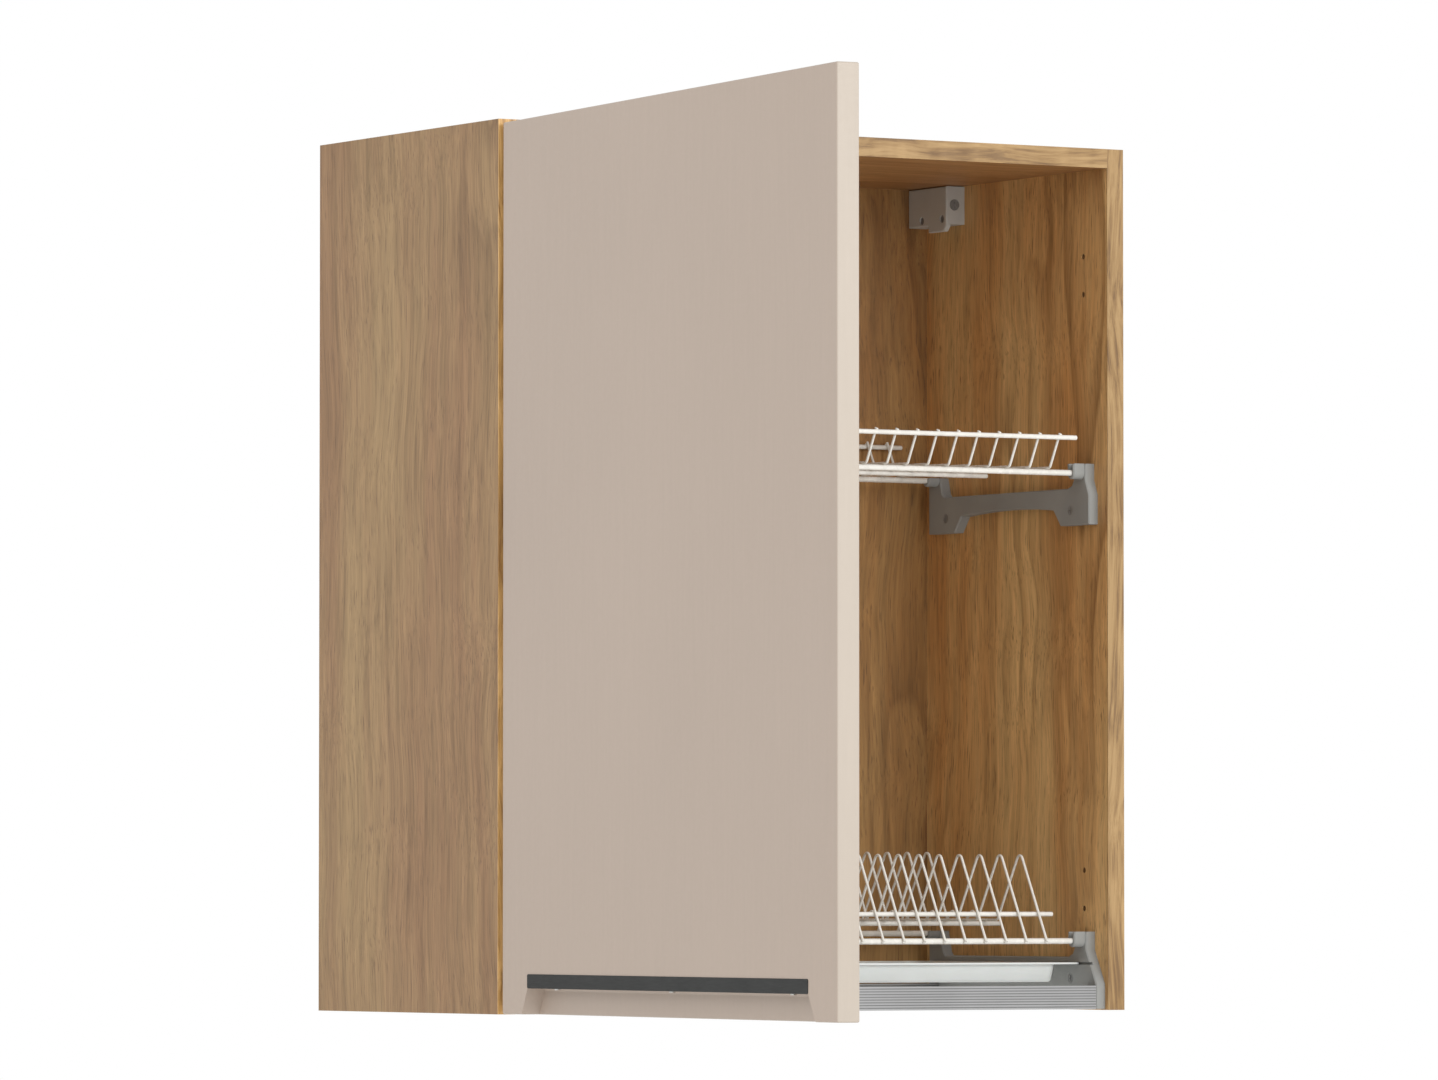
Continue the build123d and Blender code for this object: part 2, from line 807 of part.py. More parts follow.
def door_panel():
    """Board with a flared finger recess at its lower edge, drawn shut."""
    half = door_width / 2
    back = front_y - door_gap
    face = back - door_thickness
    board_solid = block(-half, half, face, back, door_bottom, door_bottom + door_height)
    board_solid = fillet(board_solid.edges(), door_edge_radius)
    ceiling = door_bottom + handle_bottom
    top_half, low_half = handle_length / 2, handle_length / 2 + recess_flare
    drop = door_bottom - cut_overrun
    flare = recess_flare * cut_overrun / handle_bottom
    outline = Polyline(
        (-top_half, ceiling),
        (top_half, ceiling),
        (low_half + flare, drop),
        (-low_half - flare, drop),
        close=True,
    )
    front_plane = Plane(origin=(0, face - cut_overrun, 0), x_dir=(1, 0, 0), z_dir=(0, -1, 0))
    recess = extrude(front_plane * make_face(outline), -(recess_depth + cut_overrun))
    deep_edge = recess.edges().filter_by(Axis.X).group_by(Axis.Y)[-1].sort_by(Axis.Z)[-1]
    recess = fillet(deep_edge, recess_corner_radius)
    board_solid -= recess
    board_solid -= handle_cutter(face)
    for x in handle_screw_places():
        z = ceiling + handle_lip
        y = face + recess_depth / 2
        top = z + handle_screw_length - handle_screw_head_height
        board_solid -= rod(handle_screw_diameter / 2 + fitting_play, (x, y, z), (x, y, top))
    for height in (bottom_hinge_height, top_hinge_height):
        x = -half + cup_edge_distance + cup_diameter / 2
        deep = back - cup_depth - fitting_play
        board_solid -= rod(cup_diameter / 2 + cup_bore_play, (x, back, height), (x, deep, height))
        for step in (-1, 1):
            z = height + step * wing_screw_spacing / 2
            wing_x = x + wing_offset
            tip = back - wing_screw_length
            board_solid -= rod(wing_screw_diameter / 2 + fitting_play, (wing_x, back, z), (wing_x, tip, z))
    return board_solid


def handle_profile(face, play):
    """Angle section: an upright strip in the door's face and a lip back over the recess."""
    low, high = door_bottom + handle_bottom, door_bottom + handle_bottom + handle_height
    half = handle_length / 2 + play
    proud = face - handle_proud
    strip = block(-half, half, proud, face + handle_face, low - play, high + play)
    corners = strip.edges().filter_by(Axis.Y)
    strip = fillet(corners, handle_corner_radius)
    lip_half = half - handle_corner_radius * 2
    reach = face + recess_depth - recess_corner_radius
    return strip + block(-lip_half, lip_half, face, reach, low - play, low + handle_lip + play)


def handle_cutter(face):
    return handle_profile(face, fitting_play)


def handle_strip():
    face = front_y - door_gap - door_thickness
    strip = handle_profile(face, 0)
    low = door_bottom + handle_bottom
    y = face + recess_depth / 2
    for x in handle_screw_places():
        hole = handle_screw_diameter / 2 + fitting_play
        strip -= rod(hole, (x, y, low - cut_overrun), (x, y, low + handle_lip + cut_overrun))
    return strip


def handle_screw_places():
    spacing = handle_length * handle_screw_share
    return [-spacing, 0, spacing]


def handle_screw(x):
    face = front_y - door_gap - door_thickness
    y = face + recess_depth / 2
    start = (x, y, door_bottom + handle_bottom - handle_screw_head_height)
    length = handle_screw_length - end_play
    return headed_screw(
        start, (0, 0, 1), handle_screw_head, handle_screw_head_height, handle_screw_diameter, length
    )


def door_bumper(z):
    x = door_width / 2 - bumper_inset
    back = front_y - door_gap
    dome = rod(bumper_diameter / 2, (x, back, z), (x, back + bumper_height, z))
    rim = dome.edges().filter_by(GeomType.CIRCLE).sort_by(Axis.Y)[-1]
    return fillet(rim, bumper_height / 2)


# Hinges, drawn with the door shut


def hinge_cup(height):
    """Pressed cup in the door, with a wing each way and two cheeks that hold the pivot pin."""
    back = front_y - door_gap
    x = -door_width / 2 + cup_edge_distance + cup_diameter / 2
    outer = cup_diameter / 2
    bowl = rod(outer, (x, back, height), (x, back - cup_depth, height))
    rim = rod(outer + flange_rim, (x, back, height), (x, back + flange_thickness, height))
    wing_x = x + wing_offset
    plane = Plane(origin=(wing_x, back + flange_thickness, height), x_dir=(1, 0, 0), z_dir=(0, -1, 0))
    wings = extrude(plane * RectangleRounded(wing_width, wing_length, wing_corner_radius), flange_thickness)
    cup = bowl + rim + wings
    inner = outer - cup_wall
    cup -= rod(inner, (x, back + flange_thickness, height), (x, back - cup_depth + cup_wall, height))
    for step in (-1, 1):
        z0 = height + step * (arm_nose_width / 2 + cheek_gap)
        z1 = z0 + step * cheek_thickness
        cheek = rod(cheek_radius, (pivot_x, pivot_y, z0), (pivot_x, pivot_y, z1))
        floor = back - cup_depth + cup_wall / 2
        cheek += block(pivot_x - cheek_radius, pivot_x + cheek_radius, floor, pivot_y, z0, z1)
        cup += cheek & rod(outer - cup_wall / 2, (x, back, height), (x, back - cup_depth, height))
    reach = arm_nose_width / 2 + cheek_thickness
    cup -= rod(pin_radius, (pivot_x, pivot_y, height - reach), (pivot_x, pivot_y, height + reach))
    for step in (-1, 1):
        z = height + step * wing_screw_spacing / 2
        hole = wing_screw_diameter / 2 + fitting_play
        cup -= rod(hole, (wing_x, back - cut_overrun, z), (wing_x, back + flange_thickness + cut_overrun, z))
    return cup


def hinge_pin(height):
    half = arm_nose_width / 2 + cheek_thickness - end_play
    return rod(pin_radius, (pivot_x, pivot_y, height - half), (pivot_x, pivot_y, height + half))


def cup_screw(height, step):
    x = -door_width / 2 + cup_edge_distance + cup_diameter / 2 + wing_offset
    z = height + step * wing_screw_spacing / 2
    start = (x, front_y - door_gap + flange_thickness + wing_screw_head_height, z)
    length = wing_screw_length - end_play
    return headed_screw(
        start, (0, -1, 0), wing_screw_head, wing_screw_head_height, wing_screw_diameter, length
    )


def hinge_arm(height):
    """Goose-neck nose from the pivot round the panel's front edge, and a channel behind it."""
    low, high = height - arm_nose_width / 2, height + arm_nose_width / 2
    nose_low = pivot_y - arm_eye_radius
    stem_x = pivot_x + arm_reach
    nose = block(pivot_x, stem_x, nose_low, nose_low + arm_sheet, low, high)
    nose += block(stem_x - arm_sheet, stem_x, nose_low, depth(arm_body_start + arm_wall), low, high)
    uprights = nose.edges().filter_by(Axis.Z)
    outer_corner = uprights.sort_by_distance((stem_x, nose_low, height))[0]
    inner_corner = uprights.sort_by_distance((stem_x - arm_sheet, nose_low + arm_sheet, height))[0]
    nose = fillet(outer_corner, arm_bend_radius + arm_sheet)
    inner_corner = nose.edges().filter_by(Axis.Z).sort_by_distance(inner_corner.center())[0]
    nose = fillet(inner_corner, arm_bend_radius)
    arm = nose + rod(arm_eye_radius, (pivot_x, pivot_y, low), (pivot_x, pivot_y, high))
    base_x = -inner_half + plate_base
    top_x = base_x + arm_body_height
    near, far = depth(arm_body_start), depth(arm_body_end)
    z0, z1 = height - arm_body_width / 2, height + arm_body_width / 2
    body = block(base_x, top_x, near, far, z0, z1)
    start_x, inner_z0, inner_z1 = base_x - cut_overrun, z0 + arm_wall, z1 - arm_wall
    body -= block(start_x, top_x - arm_wall, near + arm_wall, far + cut_overrun, inner_z0, inner_z1)
    top_edges = body.edges().filter_by(Axis.Y).group_by(Axis.X)[-1]
    arm += fillet(top_edges, arm_edge_radius)
    arm -= rod(pin_radius + pin_play, (pivot_x, pivot_y, low), (pivot_x, pivot_y, high))
    for d in (arm_screw_front, arm_screw_rear):
        hole = arm_screw_diameter / 2 + fitting_play
        arm -= rod(hole, (top_x - arm_hole_depth, depth(d), height), (top_x + cut_overrun, depth(d), height))
    return arm


def hinge_plate(height):
    """Cross-shaped plate on the side panel, with a low post that the arm's screws go into."""
    x0, x1 = -inner_half, -inner_half + plate_base
    z0, z1 = height - plate_width / 2, height + plate_width / 2
    plate = block(x0, x1, depth(plate_start), depth(plate_end), z0, z1)
    y = depth(plate_hole_from_front)
    half_span = plate_wing_span / 2
    wing = plate_wing_width / 2
    plate += block(x0, x1, y - wing, y + wing, height - half_span, height + half_span)
    plate = fillet(plate.edges().filter_by(Axis.X), plate_corner_radius)
    post_half = plate_post_width / 2
    post_top = x1 + plate_post_height
    y0, y1 = depth(plate_start + arm_wall), depth(plate_end - arm_wall)
    plate += block(x1, post_top, y0, y1, height - post_half, height + post_half)
    for d in (arm_screw_front, arm_screw_rear):
        hole = arm_screw_diameter / 2 + fitting_play
        y = depth(d)
        plate -= rod(hole, (x0 + arm_screw_floor, y, height), (post_top + cut_overrun, y, height))
    y = depth(plate_hole_from_front)
    for step in (-1, 1):
        z = height + step * plate_hole_spacing / 2
        hole = plate_screw_diameter / 2 + fitting_play
        plate -= rod(hole, (x0 - cut_overrun, y, z), (x1 + cut_overrun, y, z))
    return plate


def plate_screw(height, step):
    z = height + step * plate_hole_spacing / 2
    y = depth(plate_hole_from_front)
    start = (-inner_half + plate_base + plate_screw_head_height, y, z)
    shank = plate_screw_diameter - fitting_play * 2
    head, head_height = plate_screw_head, plate_screw_head_height
    return headed_screw(start, (-1, 0, 0), head, head_height, shank, plate_screw_length)


def arm_screw(height, d):
    top = -inner_half + plate_base + arm_body_height
    start = (top + arm_screw_head_height, depth(d), height)
    length = arm_body_height + plate_base - arm_screw_floor - arm_screw_gap
    shank = arm_screw_diameter - fitting_play * 2
    return headed_screw(start, (-1, 0, 0), arm_screw_head, arm_screw_head_height, shank, length)


# Hangers, drawn for the right rear corner


def hanger_screw_places():
    near = back_face - hanger_depth - hanger_rear_gap
    z = top_underside - hanger_top_gap - hanger_height + hanger_screw_rise
    return [(depth(near + hanger_screw_front), z), (depth(near + hanger_screw_rear), z)]


def hook_window(sign):
    """Clear window round a hook: lowest and highest X, then lowest and highest Z."""
    middle = hook_middle_x()
    half = hook_thickness / 2 + hook_slot_play
    top = top_underside - hanger_top_gap - hook_top_gap
    x0, x1 = sorted((sign * (middle - half), sign * (middle + half)))
    return x0, x1, top - hook_height - hook_slot_play, top + hook_slot_play


def hook_middle_x():
    return inner_half - adjuster_from_wall


def hanger_housing():
    """Plastic box on the side panel with a lug below, open inside for the hook."""
    x1 = inner_half
    x0 = inner_half - hanger_width
    near, far = depth(back_face - hanger_depth - hanger_rear_gap), depth(back_face - hanger_rear_gap)
    top = top_underside - hanger_top_gap
    low = top - hanger_height
    solid = block(x0, x1, near, far, low, top)
    lug = block(x0, x0 + hanger_lug_width, near, near + hanger_lug_length, low - hanger_lug_drop, low)
    lug_edge = lug.edges().filter_by(Axis.X).group_by(Axis.Z)[0].sort_by(Axis.Y)[0]
    solid += chamfer(lug_edge, hanger_lug_chamfer)
    outer = solid.faces().sort_by(Axis.X)[0]
    solid = chamfer(outer.edges(), hanger_edge_chamfer)
    middle = hook_middle_x()
    half = hook_thickness / 2 + hook_play
    hook_top = top - hook_top_gap
    solid -= block(
        middle - half,
        middle + half,
        near + hook_room_start,
        far + cut_overrun,
        hook_top - hook_height - hook_play,
        hook_top + hook_play,
    )
    z = low + adjuster_rise
    solid -= rod(adjuster_diameter / 2 + hook_play, (middle, near - cut_overrun, z), (middle, far, z))
    seat = near + adjuster_head_height + hook_play
    solid -= rod(adjuster_head / 2 + hook_play, (middle, near - cut_overrun, z), (middle, seat, z))
    for y, screw_z in hanger_screw_places():
        hole = hanger_screw_diameter / 2 + fitting_play
        solid -= rod(hole, (x0 - cut_overrun, y, screw_z), (x1 + cut_overrun, y, screw_z))
        seat = x0 + hanger_screw_sunk + hanger_screw_head_height
        solid -= rod(hanger_screw_head / 2 + fitting_play, (x0 - cut_overrun, y, screw_z), (seat, y, screw_z))
    return solid


def hanger_hook():
    """Steel hook that runs back through the window and turns down behind the sheet."""
    middle = hook_middle_x()
    x0, x1 = middle - hook_thickness / 2, middle + hook_thickness / 2
    top = top_underside - hanger_top_gap - hook_top_gap
    start = depth(back_face - hook_tail)
    end = depth(back_face + back_sheet + hook_reach)
    bar = block(x0, x1, start, end, top - hook_height, top)
    lip = block(x0, x1, end - hook_lip_thickness, end, top - hook_height - hook_lip_drop, top)
    hook = bar + lip
    corners = hook.edges().filter_by(Axis.X).sort_by(Axis.Y)[-2:]
    hook = fillet(corners, hook_corner_radius)
    z = top_underside - hanger_top_gap - hanger_height + adjuster_rise
    tip = start + adjuster_tip_length + hook_travel + hook_play
    return hook - rod(adjuster_tip_radius + fitting_play, (middle, start, z), (middle, tip, z))


def hanger_screw(y, z):
    x0 = inner_half - hanger_width + hanger_screw_sunk
    height = hanger_screw_head_height
    length = hanger_width - hanger_screw_sunk - height + hanger_screw_length
    shank = hanger_screw_diameter
    return headed_screw((x0, y, z), (1, 0, 0), hanger_screw_head, height, shank, length)


def adjusting_screw():
    """Screw in the front of the hanger; its thin tip turns in the hook's tail."""
    middle = hook_middle_x()
    near = depth(back_face - hanger_depth - hanger_rear_gap)
    z = top_underside - hanger_top_gap - hanger_height + adjuster_rise
    tail = depth(back_face - hook_tail)
    head_height, shank_length = adjuster_head_height, adjuster_shank_length
    way = (0, 1, 0)
    screw = headed_screw((middle, near, z), way, adjuster_head, head_height, adjuster_diameter, shank_length)
    shank_end = near + head_height + shank_length
    return screw + rod(adjuster_tip_radius, (middle, shank_end, z), (middle, tail + adjuster_tip_length, z))


# Write every sub-part

os.makedirs("parts", exist_ok=True)

save("left_side_panel", side_panel(-1))
save("right_side_panel", side_panel(1))
save("top_panel", top_panel())
save("back_panel", back_panel())
save("front_edge_bands", *edge_bands())
save("cam_locks", *[cam_lock(s, y) for s in (-1, 1) for y in cam_places()])
save("cam_bolts", *[cam_bolt(s, y) for s in (-1, 1) for y in cam_places()])
save("dowels", *[dowel(s, y) for s in (-1, 1) for y in dowel_places()])

upper_right, lower_right = upper_bracket(), lower_bracket()
save("upper_right_bracket", upper_right)
save("upper_left_bracket", mirrored(upper_right))
save("lower_right_bracket", lower_right)
save("lower_left_bracket", mirrored(lower_right))
right_screws = [bracket_screw(y, z) for y, z in bracket_screw_places()]
save("bracket_screws", *right_screws, *[mirrored(s) for s in right_screws])
save("front_bottom_rail", bottom_rail(lower_bracket_front))
save("rear_bottom_rail", bottom_rail(rear_rail_depth))
save("drip_tray", drip_tray())

shift = plate_rack_shift
plate_front_rod = cross_rod(rod_length, rod_diameter, front_rod_depth, plate_front_rod_height, shift)
plate_rear_rod = cross_rod(rod_length, rod_diameter, rear_rod_depth, plate_rear_rod_height, shift)
save("plate_rack_front_rod", plate_front_rod)
save("plate_rack_rear_rod", plate_rear_rod)
plate_rail_depth = rail_behind_leg(plate_rail_height)
plate_rail = cross_rod(rail_length, rail_diameter, plate_rail_depth, plate_rail_height, shift)
save("plate_rack_front_rail", plate_rail)
for place, side in (("front", -1), ("rear", 1)):
    d = hump_depth + side * plate_middle_rod_offset
    middle_rod = cross_rod(rail_length, rail_diameter, d, plate_middle_rod_height, shift)
    save("plate_rack_inner_" + place + "_rod", middle_rod)
save("plate_rack_wires", *[plate_wire(x) for x in wire_places(shift)])

save("cup_rack_front_rod", cross_rod(rod_length, rod_diameter, front_rod_depth, cup_front_rod_height))
save("cup_rack_rear_rod", cross_rod(rod_length, rod_diameter, rear_rod_depth, cup_rear_rod_height))
middle_depth = front_rod_depth + (rear_rod_depth - front_rod_depth) * cup_middle_rod_share
middle_height = cup_front_rod_height + cup_rear_rod_rise * cup_middle_rod_share
middle_height += (rod_diameter - rail_diameter) / 2
save("cup_rack_middle_rod", cross_rod(rail_length, rail_diameter, middle_depth, middle_height))
run = fence_rail_run(front_fence_lean, front_fence_rise, front_fence_rail_rise)
front_rail_depth = front_rod_depth - front_fence_overhang - run
front_rail_height = cup_front_rod_height + cross_wire_rise + front_fence_rail_rise
save("cup_rack_front_rail", cross_rod(rail_length, rail_diameter, front_rail_depth, front_rail_height))
run = fence_rail_run(rear_fence_lean, rear_fence_rise, rear_fence_rail_rise)
rear_rail_place = rear_rod_depth + rear_fence_overhang + run
rear_rail_height = cup_rear_rod_height + cross_wire_rise + rear_fence_rail_rise
save("cup_rack_rear_rail", cross_rod(rail_length, rail_diameter, rear_rail_place, rear_rail_height))
save("cup_rack_wires", *[cup_wire(x) for x in wire_places()])

save("door_panel", opened(door_panel()))
save("handle_strip", opened(handle_strip()))
save("handle_screws", *[opened(handle_screw(x)) for x in handle_screw_places()])
bumper_heights = (door_bottom + bumper_from_end, door_bottom + door_height - bumper_from_end)
save("door_bumpers", *[opened(door_bumper(z)) for z in bumper_heights])

for place, height in (("bottom", bottom_hinge_height), ("top", top_hinge_height)):
    save(place + "_hinge_cup", opened(hinge_cup(height)))
    save(place + "_hinge_pin", opened(hinge_pin(height)))
    save(place + "_hinge_cup_screws", *[opened(cup_screw(height, s)) for s in (-1, 1)])
    save(place + "_hinge_arm", hinge_arm(height))
    save(place + "_hinge_plate", hinge_plate(height))
    save(place + "_hinge_plate_screws", *[plate_screw(height, s) for s in (-1, 1)])
    save(place + "_hinge_arm_screws", *[arm_screw(height, d) for d in (arm_screw_front, arm_screw_rear)])

housing, hook, adjuster = hanger_housing(), hanger_hook(), adjusting_screw()
fixings = [hanger_screw(y, z) for y, z in hanger_screw_places()]
save("right_hanger_housing", housing)
save("right_hanger_hook", hook)
save("right_hanger_adjusting_screw", adjuster)
save("right_hanger_fixing_screws", *fixings)
save("left_hanger_housing", mirrored(housing))
save("left_hanger_hook", mirrored(hook))
save("left_hanger_adjusting_screw", mirrored(adjuster))
save("left_hanger_fixing_screws", *[mirrored(s) for s in fixings])
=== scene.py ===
# %% [markdown]
# # A dish drying cabinet, dressed for the camera
# The cabinet hangs on a kitchen wall with its door open. Inside are a rack for glasses, a rack for
# plates and a tray for the drips. The solids come from the CAD model, in metres. What this script adds
# is what the eye checks first: the oak decor with its grain, the matte door, the coated wire with its
# weld beads, the ribbed aluminium, and the light of a small studio.

# %% Load the model as a fixed frame
import json
import math

import bmesh
import bpy
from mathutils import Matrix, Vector


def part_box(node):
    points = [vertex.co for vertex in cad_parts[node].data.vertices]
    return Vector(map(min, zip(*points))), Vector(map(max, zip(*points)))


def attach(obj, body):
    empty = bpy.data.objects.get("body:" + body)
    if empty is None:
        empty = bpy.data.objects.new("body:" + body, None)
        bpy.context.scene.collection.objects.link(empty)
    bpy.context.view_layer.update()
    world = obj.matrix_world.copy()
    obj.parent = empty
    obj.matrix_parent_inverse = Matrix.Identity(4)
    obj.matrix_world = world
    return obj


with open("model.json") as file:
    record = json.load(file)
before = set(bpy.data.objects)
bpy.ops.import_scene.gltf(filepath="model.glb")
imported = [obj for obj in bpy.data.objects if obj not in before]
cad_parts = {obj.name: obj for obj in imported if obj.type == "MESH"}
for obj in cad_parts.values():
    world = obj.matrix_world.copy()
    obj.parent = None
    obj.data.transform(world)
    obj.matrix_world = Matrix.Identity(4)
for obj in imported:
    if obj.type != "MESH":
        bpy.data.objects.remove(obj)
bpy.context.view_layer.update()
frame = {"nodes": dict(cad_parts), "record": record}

nodes = frame["nodes"]
print("CAD nodes:", len(nodes))

# %% [markdown]
# ## The view
# The photograph is taken from far away with a long lens, from the cabinet's left and a little below
# it, so upright edges stay upright and the tray's underside is hidden. A tilted camera with no shift
# keeps the same look when it is moved round the object.

# %% Camera
camera_place = Vector((-3.8825, -6.6796, 0.0908))
camera_turn = (math.radians(92.27), 0, math.radians(-30.72))
lens_mm = 228.06
sensor_mm = 36
sight_end = 60

camera = bpy.data.objects.new("camera", bpy.data.cameras.new("camera"))
camera.location = camera_place
camera.rotation_euler = camera_turn
camera.data.lens = lens_mm
camera.data.sensor_width = sensor_mm
camera.data.clip_end = sight_end
bpy.context.scene.collection.objects.link(camera)
bpy.context.scene.camera = camera
print("camera stands", round(camera_place.length, 2), "m from the foot of the cabinet's back")

# %% [markdown]
# ## The ground
# The object hangs, so the floor lies well below it and only gives the picture its white ground. One
# large matte face is enough.

# %% Floor
floor_drop = 0.45
floor_half = 12.0
floor_colour = (0.93, 0.93, 0.92, 1)
floor_roughness = 0.9


def pale_floor():
    mesh = bpy.data.meshes.new("floor")
    corners = [(-1, -1), (1, -1), (1, 1), (-1, 1)]
    points = [(x * floor_half, y * floor_half, -floor_drop) for x, y in corners]
    mesh.from_pydata(points, [], [(0, 1, 2, 3)])
    floor = bpy.data.objects.new("floor", mesh)
    bpy.context.scene.collection.objects.link(floor)
    paint = bpy.data.materials.new("pale_floor")
    paint.use_nodes = True
    shader = paint.node_tree.nodes["Principled BSDF"]
    shader.inputs["Base Color"].default_value = floor_colour
    shader.inputs["Roughness"].default_value = floor_roughness
    mesh.materials.append(paint)
    return floor


pale_floor()
print("floor lies", floor_drop, "m below the cabinet")

# %% [markdown]
# ## Soft light
# The photograph has no hard shadow, and faces to the front are clearly brighter than faces to the
# left. A white world gives the even part, a large soft light in front gives the rest, and a weak one
# on the left lifts the shaded sides. Colours are judged by number here, so the plain view transform
# is the honest one.

# %% World and lights
white = (1, 1, 1, 1)
world_strength = 1.0
lit_middle = (0, -0.15, 0.36)
studio_lights = {
    "front_light": {"place": (1.0, -5.2, 1.6), "size": 2.4, "watts": 110},
    "left_light": {"place": (-4.5, -1.5, 1.5), "size": 2.0, "watts": 12},
}


def soft_light(name, place, size, watts):
    data = bpy.data.lights.new(name, "AREA")
    data.shape = "DISK"
    data.size = size
    data.energy = watts
    lamp = bpy.data.objects.new(name, data)
    lamp.location = place
    lamp.rotation_euler = (Vector(lit_middle) - Vector(place)).to_track_quat("-Z", "Y").to_euler()
    bpy.context.scene.collection.objects.link(lamp)


world = bpy.data.worlds.new("studio")
world.use_nodes = True
background = world.node_tree.nodes["Background"]
background.inputs["Color"].default_value = white
background.inputs["Strength"].default_value = world_strength
bpy.context.scene.world = world
bpy.context.scene.view_settings.view_transform = "Standard"
for name, settings in studio_lights.items():
    soft_light(name, **settings)

# %% [markdown]
# ## A small kit for surfaces
# Every surface below is a Principled shader whose colour, roughness and bump come from noise. Writing
# out twenty nodes a time hides the idea, so a few helpers carry the wiring: one makes the material,
# one adds a node with its settings, one lays a colour ramp, and the last fills the shader's sockets.

# %% Helpers for node materials
shader_sockets = {
    "colour": "Base Color", "roughness": "Roughness", "normal": "Normal", "metallic": "Metallic",
    "specular": "Specular IOR Level", "coat": "Coat Weight", "coat_roughness": "Coat Roughness",
    "transmission": "Transmission Weight", "inner_light": "Subsurface Weight",
}


class Surface:
    """One material and short ways to add nodes to it."""

    def __init__(self, name):
        self.material = bpy.data.materials.new(name)
        self.material.use_nodes = True
        self.tree = self.material.node_tree
        self.place = self.add("TexCoord").node.outputs["Object"]

    def fill(self, socket, value):
        """Link a node's output to the socket, or give the socket a plain value."""
        if isinstance(value, bpy.types.NodeSocket):
            self.tree.links.new(value, socket)
        else:
            socket.default_value = value

    def add(self, kind, sockets=None, **settings):
        """Add a node, fill its sockets and hand back its first output."""
        node = self.tree.nodes.new("ShaderNode" + kind)
        for key, value in settings.items():
            setattr(node, key, value)
        for key, value in (sockets or {}).items():
            self.fill(node.inputs[key], value)
        return node.outputs[0]

    def coordinates(self):
        """X, Y and Z of the point that is shaded, as three outputs."""
        return list(self.add("SeparateXYZ", {0: self.place}).node.outputs)

    def stretched(self, scale, shift=(0, 0, 0)):
        """The same place with each axis scaled. A small share draws a pattern out along that axis."""
        return self.add("Mapping", {0: self.place, 1: shift, 3: scale})

    def noise(self, vector, scale, detail=2, roughness=0.5):
        sockets = {"Vector": vector, "Scale": scale, "Detail": detail, "Roughness": roughness}
        return self.add("TexNoise", sockets)

    def calc(self, first, operation, second=0):
        return self.add("Math", {0: first, 1: second}, operation=operation)

    def ramp(self, value, stops):
        """Lay colours along a value. A stop with a single number is a grey."""
        output = self.add("ValToRGB", {0: value})
        elements = output.node.color_ramp.elements
        while len(elements) < len(stops):
            elements.new(0.5)
        for element, (position, colour) in zip(elements, stops):
            element.position = position
            element.color = (*colour, 1) if isinstance(colour, tuple) else (colour, colour, colour, 1)
        return output

    def between(self, value, first, second, spread=0.2):
        """Run from one tone to another. Noise keeps near its middle, so the ends lie close to 0.5."""
        return self.ramp(value, [(0.5 - spread, first), (0.5 + spread, second)])

    def mix(self, factor, first, second, blend="MIX"):
        return self.add("MixRGB", {0: factor, 1: first, 2: second}, blend_type=blend)

    def times(self, colour, other):
        return self.mix(1.0, colour, other, "MULTIPLY")

    def tint(self, colour, where, tone):
        """Multiply the colour by a tone where the mask is 1."""
        return self.times(colour, self.mix(where, white, (*tone, 1)))

    def bump(self, height, depth, strength):
        return self.add("Bump", {"Height": height, "Distance": depth, "Strength": strength})

    def finished(self, **values):
        """Fill the shader's sockets by their short names and hand back the material."""
        shader = self.tree.nodes["Principled BSDF"]
        for key, value in values.items():
            self.fill(shader.inputs[shader_sockets[key]], value)
        print(self.material.name, "has", len(self.tree.nodes), "nodes")
        return self.material


print("sockets in use:", sorted(shader_sockets.values()))

# %% [markdown]
# ## Tones of the oak decor
# The boards are faced with printed oak, and each cut has a pale ground, a warm drift and dark rings.
# The light inside the cabinet is weaker than outside, so the boards seen from within have tones of
# their own, with painted light and shade in them. The right board is lit only through the door and
# its tones are painted much paler; its edges and outer face take a tint that takes this painted light
# off again and brings them back to the tone of the left board.

# %% Oak tones
# Each board's tones are matched to the light it gets, so they hold painted light and shade; the right
# board's are painted much paler.
oak_tones_with_painted_light = {
    "left": {"pale": (0.338, 0.217, 0.100), "warm": (0.278, 0.156, 0.073), "dark": (0.158, 0.084, 0.035)},
    "back": {"pale": (0.400, 0.240, 0.090), "warm": (0.300, 0.146, 0.046), "dark": (0.130, 0.056, 0.017)},
    "right": {"pale": (0.690, 0.460, 0.205), "warm": (0.540, 0.275, 0.096), "dark": (0.220, 0.098, 0.030)},
    "top": {"pale": (0.430, 0.225, 0.086), "warm": (0.310, 0.146, 0.050), "dark": (0.170, 0.070, 0.022)},
}
oak_pore = (0.120, 0.062, 0.028)
# This tint takes the right board's painted light off its outer face and edges.
outside_painted_light_off = (0.490, 0.472, 0.488)
print("oak tones for the boards:", list(oak_tones_with_painted_light))

# %% [markdown]
# ## Grain that wanders
# Straight noise looks like rain. In a trunk the grain bends gently round the knots, so every point's
# coordinates are pushed a few centimetres by a slow noise before the grain is drawn on them.

# %% Wandering grain
knot_scale = 3.6
grain_wander = 0.056


def wander(surface):
    slow = surface.noise(surface.place, knot_scale).node.outputs["Color"]
    centred = surface.add("VectorMath", {0: slow, 1: (0.5, 0.5, 0.5)}, operation="SUBTRACT")
    swing = surface.add("VectorMath", {0: centred, 1: (grain_wander,) * 3}, operation="MULTIPLY")
    surface.place = surface.add("VectorMath", {0: surface.place, 1: swing}, operation="ADD")


print("the grain swings by up to", round(grain_wander / 2 * 1000), "mm")

# %% [markdown]
# ## Oak decor
# A flat-sawn board shows nested arches, because the saw cuts the yearly rings at a slant. The same
# figure comes from the contour lines of a noise field that is stretched along the grain: take the
# noise, multiply it, and keep the fraction. Finer noise, stretched more, gives the streaks and the
# open pores. Which axis is stretched sets the grain's direction.

